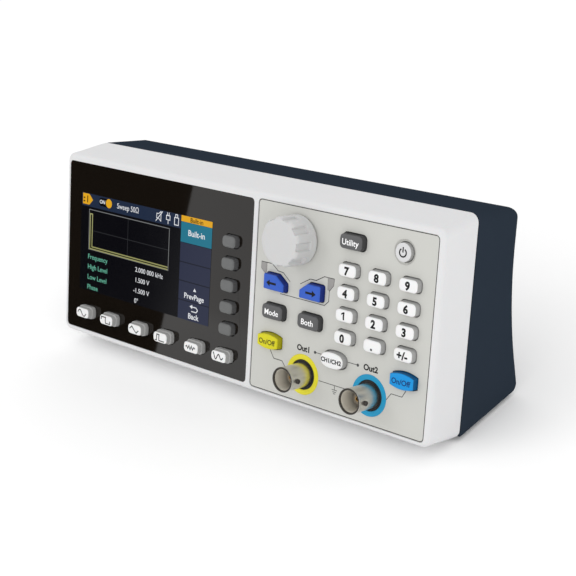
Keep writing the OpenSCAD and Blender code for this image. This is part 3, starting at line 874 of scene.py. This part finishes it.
def wave_points(kind, w, h):
    """A waveform's line, centred, w wide and h high."""
    if kind == "sine":
        points = [(i / 12 - 1, math.sin(math.tau * i / 24)) for i in range(25)]
    elif kind == "arbitrary":
        points = [(i / 15 - 1, (1.1 - i / 60) * math.cos(math.tau * i / 17)) for i in range(31)]
    else:
        points = WAVE_CORNERS[kind]
    return [(w / 2 * x, h / 2 * z) for x, z in points]


ONE_FLAG = [(-0.2, 1.5), (-1, 0.95), (-1, 0.3), (-0.2, 0.8)]
DIGIT_SIZE = 4.2
KEY_WORDS = [("utility_key", "Utility", 3.25, INK_WHITE, 0.03),
             ("mode_key", "Mode", 3.2, INK_WHITE, 0.03),
             ("both_key", "Both", 3.25, INK_WHITE, 0.03),
             ("out1_key", "On/Off", 2.9, INK_OLIVE, 0.06),
             ("out2_key", "On/Off", 2.9, INK_NAVY, 0.06),
             ("channel_key", "CH1/CH2", 2.4, INK_BLACK, 0.09)]


def make_keys():
    for node, key in KEYS.items():
        piece(node + "_cap", key.mesh(), *KEY_COLORS[node], body=node, replaces=[node])
    for i in "023456789":
        key_text(f"digit_{i}", i, DIGIT_SIZE, INK_BLACK, 0.2)
    one = KEYS["digit_1"]
    key_legend("digit_1", INK_BLACK, [area(one.x - 0.2, one.z - 1.5, one.x + 0.5, one.z + 1.5),
                                      shifted(ONE_FLAG, one.x, one.z)])
    key_text("sign_key", "+/-", DIGIT_SIZE, INK_BLACK, 0.16)
    point = KEYS["point_key"]
    key_legend("point_key", INK_BLACK, [circle(point.x, point.z - 1.1, 0.46)])
    for row in KEY_WORDS:
        key_text(*row)
    for node, side in (("arrow_left", -1), ("arrow_right", 1)):
        key = KEYS[node]
        key_legend(node, INK_BLACK, arrow_shapes(key.x + side * 0.8, key.z - 0.3, side))
    for node in WAVES:
        key = KEYS[node]
        line = shifted(wave_points(node[5:], 5.7, 2.6), key.x, key.z)
        key_legend(node, INK, ribbon(line, 0.48))
    power = KEYS["power_button"]
    key_legend("power_button", INK_BLACK,
               ribbon(arc(power.x, power.z - 0.1, 1.5, 122, 418, 26), 0.54)
               + [area(power.x - 0.27, power.z, power.x + 0.27, power.z + 2.0)])


# ---- window, display and panel

KEY_GAP = 0.3
SOCKETS = {"out1": RING_YELLOW, "out2": RING_CYAN}
SOCKET_AT = {name: middle(*face_box(f"{name}_ring")) for name in SOCKETS}
RING_R = face_box("out1_ring")[1].x - SOCKET_AT["out1"][0]
BUSH_R = 6
KNOB_X, KNOB_Z = middle(*face_box("knob"))


def key_hole(node):
    key = KEYS[node]
    outline = key_outline(key.kind, key.w, key.h, -KEY_GAP)
    return prism(shifted(outline, key.x, key.z), -1, 4)


def plate(low, high, cutters):
    body = prism(round_box(low, high, 0, PLATE_CORNER - PLATE_GAP), low.y, high.y)
    return rounded(carve(body, cutters), 0.09)


def make_plates():
    window = [key_hole(n) for n in WINDOW_KEYS]
    piece("window_sheet", plate(WINDOW_LOW, WINDOW_HIGH, window), WINDOW,
          replaces=["display_window"])
    panel = [key_hole(n) for n in KEYS if n not in WINDOW_KEYS]
    power = KEYS["power_button"]
    dish = [(0, 1), (5.1, 1), (5.1, -FACE_Y)] + arc(3.6, -FACE_Y + 0.9, 1.5, -37, -90)
    dish += [(0, -FACE_Y - 0.6)]
    panel.append(lathe(dish, (power.x, 0, power.z)))
    panel.append(rod(KNOB_X, KNOB_Z, 3.6, -1, 4))
    for x, z in SOCKET_AT.values():
        panel += [rod(x, z, BUSH_R + 0.05, -1, 4), rod(x, z, RING_R + 0.05, -1, FACE_Y + 0.6)]
    piece("keypad_sheet", plate(PANEL_LOW, PANEL_HIGH, panel), PANEL, replaces=["keypad_panel"])


def front_print(name, mat, y, rise, shapes, letters):
    """Ink or light on the front; x counts from the window's left edge."""
    shapes = [shifted(shape, WINDOW_X, 0) for shape in shapes]
    letters = [moved(mesh, Matrix.Translation((WINDOW_X, 0, 0))) for mesh in letters]
    print_on(name, mat, y, shapes, letters, rise=rise)


LCD_RISE = 0.01
LCD_STEP = 0.012
PRINT_RISE = 0.015


def screen(name, mat, layer, shapes=(), letters=()):
    """Lit shapes on the window; a higher layer lies over a lower one."""
    front_print(f"screen_{name}", mat, FACE_Y, LCD_RISE + LCD_STEP * layer, shapes, letters)


def words(lines, **more):
    return [lettering(text, size, x, z, **more) for text, size, x, z in lines]


def screen_words(name, mat, lines, **more):
    screen(name, mat, 3, letters=words(lines, **more))


MENU_X = (72.7, 91)
ROWS = (33.2, 28.6, 23.9, 19.3)


def menu(z0, z1):
    return area(MENU_X[0], z0, MENU_X[1], z1)


def make_screen():
    screen("glass", LCD_BLACK, 0, [area(8, 18.6, 91.2, 62.6)])
    screen("bar", LCD_BAR, 1, [area(8.5, 56.8, 72.5, 62.6)])
    fields = ((18.6, 26.6), (27, 34.8), (35.2, 42.8), (43.2, 51.2))
    screen("menu", LCD_MENU, 1, [menu(*field) for field in fields])
    screen("menu_lines", LCD_LINE, 1, [menu(z - 0.2, z + 0.2) for z in (26.8, 35, 43)])
    screen("menu_tab", LCD_TEAL, 1, [menu(51.4, 60)])
    tag = [(9, 57.6), (13.4, 57.6), (15.8, 60), (13.4, 62.4), (9, 62.4)]
    screen("amber", LCD_AMBER, 2, [menu(60.1, 62.6), tag, circle(26.6, 60.1, 2)])
    screen("switch", LCD_BLACK, 1.5, [round_rect(24, 60.1, 8.2, 3.7, 1.8)])
    screen("dark_text", LCD_BLACK, 3, [area(9.4, 58.6, 10.5, 59.2), area(9.4, 60.1, 10.5, 60.7)],
           words([("1", 4.4, 12.2, 58.5)], weight=0.06)
           + words([("Built-in", 2.7, 81.9, 60.4)], weight=0.03))
    screen_words("white_text", LCD_WHITE, [
        ("ON", 2.3, 22.3, 59.4), ("Built-in", 3.5, 82, 54.6), ("PrevPage", 3.25, 82, 28),
        ("Back", 3.3, 82, 19.6)], weight=0.05)
    values = zip(("2.000 000 kHz", "1.500 V", "-1.500 V", "0°"), (45, 45, 44.2, 45), ROWS)
    screen_words("values", LCD_WHITE, [(text, 3, x, z) for text, x, z in values], align="LEFT")
    screen_words("title", LCD_WHITE, [("Sweep 50Ω", 3.4, 32, 58.9)], align="LEFT", squeeze=0.9)
    labels = zip(("Frequency", "High Level", "Low Level", "Phase"), ROWS)
    screen_words("labels", LCD_LABEL, [(text, 3.2, 13.2, z) for text, z in labels], align="LEFT")
    box = area(13.6, 37.6, 65.7, 55.6)
    screen("plot_frame", LCD_GREY, 2, ribbon(box, 0.35, closed=True))
    screen("plot_grid", LCD_FAINT, 1, ribbon([(39.6, 37.8), (39.6, 55.4)], 0.25)
           + ribbon([(13.8, 46.3), (65.5, 46.3)], 0.25))
    trace = [(65.4, 37.9), (14.3, 37.9), (14.3, 53.7), (15.8, 53.7), (15.8, 38.9), (65.4, 38.9)]
    screen("trace", LCD_TRACE, 3, ribbon(trace, 0.5))
    screen("icons", LCD_WHITE, 3, screen_icons())


def screen_icons():
    """A muted speaker, a plug and a memory stick in the header bar, and two menu arrows."""
    speaker = [(57.6, 59), (58.7, 59), (60.2, 57.9), (60.2, 62), (58.7, 60.9), (57.6, 60.9)]
    plug, stick = area(63.6, 59.2, 65.8, 61), area(68.6, 57.8, 71, 60.9)
    stick_end = area(69.2, 60.9, 70.4, 62.2)
    outlines = [(speaker, 0.32), (plug, 0.34), (stick, 0.36), (stick_end, 0.34)]
    mute = [(57.1, 57.6), (61.2, 62.2)]
    prongs = [[(x, 61), (x, 62.3)] for x in (64.2, 65.2)]
    lead = [(64.7, 59.2), (64.7, 57.4)]
    back = [(80.8, 22.9), (83.6, 22.9), (84.5, 23.9), (83.6, 24.9), (81, 24.9)]
    heads = [[(81.4, 31.6), (83.2, 31.6), (82.3, 33)], [(79.7, 24.9), (81.3, 24), (81.3, 25.8)]]
    quads = [q for line, width in outlines for q in ribbon(line, width, closed=True)]
    quads += [q for line in (mute, *prongs, lead) for q in ribbon(line, 0.34)]
    return quads + ribbon(back, 0.42) + heads


def panel_print(name, mat, shapes=(), letters=()):
    front_print(f"panel_{name}", mat, PANEL_LOW.y, PRINT_RISE, shapes, letters)


LINE = 0.28
LINE_STOP = 0.45


def panel_lines():
    """Thin lines that group the keys and lead from keys to sockets."""
    out1, out2, channel = (KEYS[name] for name in ("out1_key", "out2_key", "channel_key"))
    foot1, foot2 = (key.z - key.h / 2 - LINE_STOP for key in (out1, out2))
    left, right = (channel.x - WINDOW_X + side * (channel.w / 2 + LINE_STOP)
                   for side in (-1, 1))
    lines = [
        [(126.5, foot1), (126.5, foot1 - 0.2), (128.5, 13.9), (133, 13.9), (135.9, 10.4)],
        [(194, foot2), (194, foot2 - 0.2), (192.5, 14.3), (187.5, 14.3), (184.8, 10.6)],
        [(152.4, 10.6), (169.5, 10.6)],
        [(160.5, 10.6), (160.5, 8.8)],
        [(159.2, 8.8), (161.8, 8.8)],
        [(159.6, 8.0), (161.4, 8.0)],
        [(160, 7.3), (161, 7.3)],
        [(149.7, 21.3), (left, 21.3)],
        [(right, 21.3), (171, 21.3)],
        [(119.3, 51.7), (125, 51.7), (128.3, 49.4), (131, 49.2), (134.8, 46.3)],
        [(140, 46.5), (145, 49.4), (148, 49.4), (152, 51.7), (157, 51.7)],
        [(130, 40.6), (152.8, 40.6), (154.8, 42.5), (154.8, 47)],
    ]
    return [quad for line in lines for quad in ribbon(line, LINE)]


def make_panel_print():
    flags = [[(119.3, 51.7), (122.2, 51.7), (122.2, 48.3), (121.5, 47.2), (119.3, 49)],
             [(153.8, 51.7), (157, 51.7), (156.8, 49), (155, 46.8), (154, 47)]]
    panel_print("flags", INK_GREY, flags)
    panel_print("flag_edges", INK, [q for flag in flags for q in ribbon(flag, 0.18, True)])
    dots = [circle(149.7, 21.3, 0.6), circle(171, 21.3, 0.6)]
    panel_print("lines", INK, panel_lines() + dots)
    panel_print("names", INK_BLACK, letters=words([("Out1", 3.2, 143.8, 20.4),
                                                   ("Out2", 3.2, 177.2, 20.4)], weight=0.12))
    # A dark line painted just inside the panel's edge: painted shade for the gap to the bezel.
    gap_shade_line = ribbon(round_box(PANEL_LOW, PANEL_HIGH, -0.225, 1.5), LINE, closed=True)
    print_on("panel_gap_shade", INK, PANEL_LOW.y, gap_shade_line, rise=0.012)


# ---- knob

KNOB_LOW, KNOB_HIGH = face_box("knob")
KNOB_REACH = -KNOB_LOW.y
KNOB_FOOT = -KNOB_HIGH.y
KNOB_R = (KNOB_HIGH.x - KNOB_LOW.x) / 2 - 0.15
FLUTES = 9
FLUTE_TURN = 36
FLUTE_HALF = 10.5
FLUTE_SLOPE = 2.8
FLUTE_DEPTH = 1.05
FLUTE_FOOT = 3.4
KNOB_STEPS = 252
FILLET = 1.7
HOLLOW_R = 7.4
SHAFT_HOLE_R = 3


def smooth(t):
    t = min(max(t, 0), 1)
    return t * t * (3 - 2 * t)


def flute_at(angle, s):
    """Depth of the flutes at an angle in degrees and a distance from the face."""
    pitch = 360 / FLUTES
    off = abs((angle - FLUTE_TURN + pitch / 2) % pitch - pitch / 2)
    return FLUTE_DEPTH * smooth((FLUTE_HALF - off) / FLUTE_SLOPE) * smooth((s - FLUTE_FOOT) / 0.5)


def make_knob():
    fillet = arc(KNOB_R - FILLET, KNOB_REACH - FILLET - 0.25, FILLET, 0, 84, 8)
    profile = ([(SHAFT_HOLE_R, KNOB_FOOT), (HOLLOW_R, KNOB_FOOT), (KNOB_R + 0.1, KNOB_FOOT),
                (KNOB_R + 0.15, KNOB_FOOT + 0.1), (KNOB_R + 0.15, 1.2), (KNOB_R + 0.05, 1.4)]
               + [(KNOB_R, s) for s in (2, 3.4, 3.55, 3.7, 3.9, 6, 8)] + fillet
               + [(r, KNOB_REACH - 0.16 * (r / 8) ** 2) for r in (7.4, 6.4, 4.5, 2.2)])
    rings = []
    for r, s in profile:
        ring = []
        for i in range(KNOB_STEPS):
            angle = 360 * i / KNOB_STEPS
            cut = flute_at(angle, s) * smooth((r - KNOB_R + 1) / 0.7)
            a = math.radians(angle)
            ring.append((KNOB_X + (r - cut) * math.cos(a), -s, KNOB_Z + (r - cut) * math.sin(a)))
        rings.append(ring)
    holes = [rod(KNOB_X, KNOB_Z, r, y, 1) for r, y in ((HOLLOW_R, -6), (SHAFT_HOLE_R, -9))]
    mesh = carve(loft(rings), holes)
    piece("knob_shell", mesh, KNOB, body="knob", sharp=50, replaces=["knob"])


# ---- sockets

# Distances along a socket's axis count outwards from the wall.
BARREL_R = 4.85
MOUTH_R = 4.2
BNC_REACH = FACE_Y - face_box("out1_socket")[0].y
BACK = -9.9
LUG_REACH = 8.5


# A shell's closed profile: out along the barrel, over the rim and back inside.
SHELL = [(4.75, BACK), (4.75, 0), (BARREL_R, 0.1), (BARREL_R, BNC_REACH - 1.3),
         (BARREL_R + 0.14, BNC_REACH - 1.1), (BARREL_R + 0.14, BNC_REACH - 0.25),
         (BARREL_R + 0.02, BNC_REACH - 0.05), (BARREL_R - 0.05, BNC_REACH),
         (MOUTH_R + 0.1, BNC_REACH - 0.35), (MOUTH_R, BNC_REACH - 0.6),
         (MOUTH_R - 0.1, 2.1), (MOUTH_R - 0.25, 2), (2.45, 2), (2.45, BACK)]
# The rim's stretches take the second material, the painted shade of the dark mouth.
SHADED_RIM_STRETCHES = (5, 6, 7, 8)


def make_socket(name, at, axis, place):
    """A bayonet socket at a place on a wall: makes its shell, lining and lugs.

    Returns its insulator and centre contact.
    """
    x, y, z = at
    shell = lathe(SHELL, at, axis, 72, SHADED_RIM_STRETCHES)
    piece(f"{name}_shell", shell, NICKEL, NICKEL_PAINTED_SHADE, place=place, replaces=[f"{name}_socket"])
    lining = [(MOUTH_R + 0.05, 2.1), (MOUTH_R + 0.05, BNC_REACH - 0.9),
              (MOUTH_R - 0.1, BNC_REACH - 1), (MOUTH_R - 0.2, 2.1)]
    piece(f"{name}_lining", lathe(lining, at, axis, 72), BORE, place=place)
    out = 1 if axis == "back" else -1
    lug = [(0, 0), (0.95, 0), (0.95, 1.15), *arc(0.7, 1.15, 0.25, 0, 90, 3), (0.5, 1.2), (0, 1.2)]
    # The lugs are drawn wholly in the painted shade, dark like their shadowed ends.
    for side, tag in ((1, "right"), (-1, "left")):
        outline = [(r, side * (4.4 + s)) for r, s in lug]
        pin = lathe(outline, (x, y + out * LUG_REACH, z), "side", 28)
        piece(f"{name}_lug_{tag}", pin, NICKEL_PAINTED_SHADE, place=place)
    insulator = [(1.06, BACK), (2.4, BACK), (2.4, 6.2), (2.2, 6.4), (1.06, 6.4)]
    contact = [(0, BACK - 2), (0.9, BACK - 2), (1.04, BACK - 1.8), (1.04, 6.7), (0.9, 6.9),
               (0.69, 6.9), (0.69, 1.2), (0, 1.2)]
    return lathe(insulator, at, axis), lathe(contact, at, axis)


def make_sockets():
    insulators, contacts = [], []
    rear_low, rear_high = row_box("rear_socket")
    rear_x, rear_z = middle(rear_low, rear_high)
    places = [(name, (x, FACE_Y, z), "out", FACE) for name, (x, z) in SOCKET_AT.items()]
    places.append(("rear", (rear_x, rear_high.y - BNC_REACH, rear_z), "back", ROW))
    for name, at, axis, place in places:
        insulator, contact = make_socket(name, at, axis, place)
        insulators.append(moved(insulator, place))
        contacts.append(moved(contact, place))
    whole = Matrix.Identity(4)
    piece("socket_insulator_set", joined(insulators), SHADED_INSULATOR, place=whole,
          replaces=["socket_insulators"])
    piece("socket_contact_set", joined(contacts), GOLD, place=whole, replaces=["socket_contacts"])
    ring = [(BUSH_R + 0.05, -0.6), (RING_R, -0.6), (RING_R, 0.05), (RING_R - 0.1, 0.15),
            (BUSH_R + 0.15, 0.15), (BUSH_R + 0.05, 0.05)]
    bush = [(4.77, -1.75), (BUSH_R, -1.75), (BUSH_R, -0.1), (BUSH_R - 0.1, 0), (4.77, 0)]
    bushes = []
    for name, (x, z) in SOCKET_AT.items():
        at = (x, FACE_Y, z)
        piece(f"{name}_colour_ring", lathe(ring, at, steps=96), SOCKETS[name],
              replaces=[f"{name}_ring"])
        bushes.append(lathe(bush, at, steps=96))
    piece("socket_bush_set", joined(bushes), BLACK, replaces=["socket_bushes"])


# ---- back, base and fasteners


FOOT_R = 5


def foot(x, y):
    profile = [(0, BASE_Z), (FOOT_R, BASE_Z), (FOOT_R, 0.8)]
    profile += arc(FOOT_R - 0.7, 0.7, 0.7, 0, -90, 4) + [(2.6, 0), (2.2, 0.35), (0, 0.35)]
    return lathe(profile, (x, y, 0), "up")


def make_feet():
    low, high = row_box("rubber_feet")
    feet = [foot(x, y) for x in (low.x + FOOT_R, high.x - FOOT_R)
            for y in (low.y + FOOT_R, high.y - FOOT_R)]
    piece("rubber_foot_set", joined(feet), RUBBER, place=ROW, replaces=["rubber_feet"])


def make_screws():
    head = [(0, 0), (2.7, 0), (2.7, 1.1)] + arc(1.9, 1.1, 0.8, 0, 90, 4) + [(0, 1.95)]
    thread = [(0, 0), (1.4, 0.8), (1.5, 1), (1.5, 11.9), (0, 11.9)]
    screws = []
    for x, z in SCREWS:
        whole = lathe(head, (x, SCREW_SEAT + 0.02, z), "back", 40)
        screws.append(carve(whole, [rod(x, z, 1.4, 25, 28, 6)]))
        screws.append(lathe(thread, (x, 12.1, z), "back", 24))
    piece("case_screw_set", joined(screws), ZINC, replaces=["case_screws"])


def port_shell(x, w, h):
    """A steel connector shell with a rolled edge, open to the back."""
    outer = prism(round_rect(x, PORT_Z, w, h, 0.5), BAY_Y - 15.3, BAY_Y + 0.4)
    inner = prism(round_rect(x, PORT_Z, w - 0.8, h - 0.8, 0.3), BAY_Y - 11, BAY_Y + 1)
    return rounded(carve(outer, [inner]), 0.08)


def make_ports():
    shells = [port_shell(USB_A, 14, 6.5), port_shell(USB_B, 12, 10.8)]
    piece("port_shells", joined(shells), ZINC, place=ROW, replaces=["usb_ports"])
    tongues = [block((x - half, BAY_Y - 10.9, PORT_Z + low), (x + half, BAY_Y - 1, PORT_Z + high))
               for x, half, low, high in ((USB_A, 5.5, 0.45, 2.35), (USB_B, 2.8, -1.6, 1.6))]
    piece("port_tongues", joined([rounded(t, 0.25) for t in tongues]), USB_BLUE, place=ROW)
    at = [(USB_A + (i - 1.5) * 2.4, PORT_Z + 0.44) for i in range(4)]
    at += [(USB_B + x, PORT_Z + z) for x in (-1.3, 1.3) for z in (-1.6, 1.6)]
    strips = [block((x - 0.5, BAY_Y - 9, z - 0.06), (x + 0.5, BAY_Y - 1.8, z + 0.06))
              for x, z in at]
    piece("port_contacts", joined(strips), GOLD, place=ROW)
    body = prism(round_rect(DC, PORT_Z, 9.8, 11.8, 0.8), BAY_Y - 15.3, BAY_Y + 0.4)
    body = carve(body, [rod(DC, PORT_Z, 3.1, BAY_Y - 9, BAY_Y + 1)])
    piece("dc_inlet_body", rounded(body, 0.2), BLACK, place=ROW, replaces=["dc_inlet"])
    pin = [(0, -9.3), (1.05, -9.3), (1.05, -1.1), (0.8, -0.8), (0.45, -0.8), (0.4, -1.4), (0, -1.4)]
    piece("dc_inlet_pin", lathe(pin, (DC, BAY_Y, PORT_Z), "back", 32), NICKEL, place=ROW)


def make_back_print():
    named = {"Ext": middle(*row_box("rear_socket"))[0], "Device": USB_B, "Host": USB_A, "DC In": DC}
    mirrored = [lettering(text, 3.4, x, PORT_Z + 9.4, weight=0.03, squeeze=-1)
                for text, x in named.items()]
    print_on("back_labels", INK_LABEL, BAY_Y, letters=mirrored, place=ROW, outward=1)


INNER = {LCD_GLASS: ["lcd_panel"], SILICONE: ["key_mat"], NICKEL: ["panel_nuts"],
         BOARD: ["keyboard_board", "main_board", "io_board"],
         ZINC: ["lcd_frame", "shield_can", "encoder_body", "encoder_shaft", "standoffs"]}


def dress_inner():
    """Materials for the CAD nodes that stay as they are."""
    for mat, nodes in INNER.items():
        for node in nodes:
            materials = NODES[node].data.materials
            materials.clear()
            materials.append(mat)


add_camera()
add_studio()
add_card()
make_bezel()
make_case()
make_plates()
make_keys()
make_screen()
make_panel_print()
make_knob()
make_sockets()
make_feet()
make_screws()
make_ports()
make_back_print()
dress_inner()
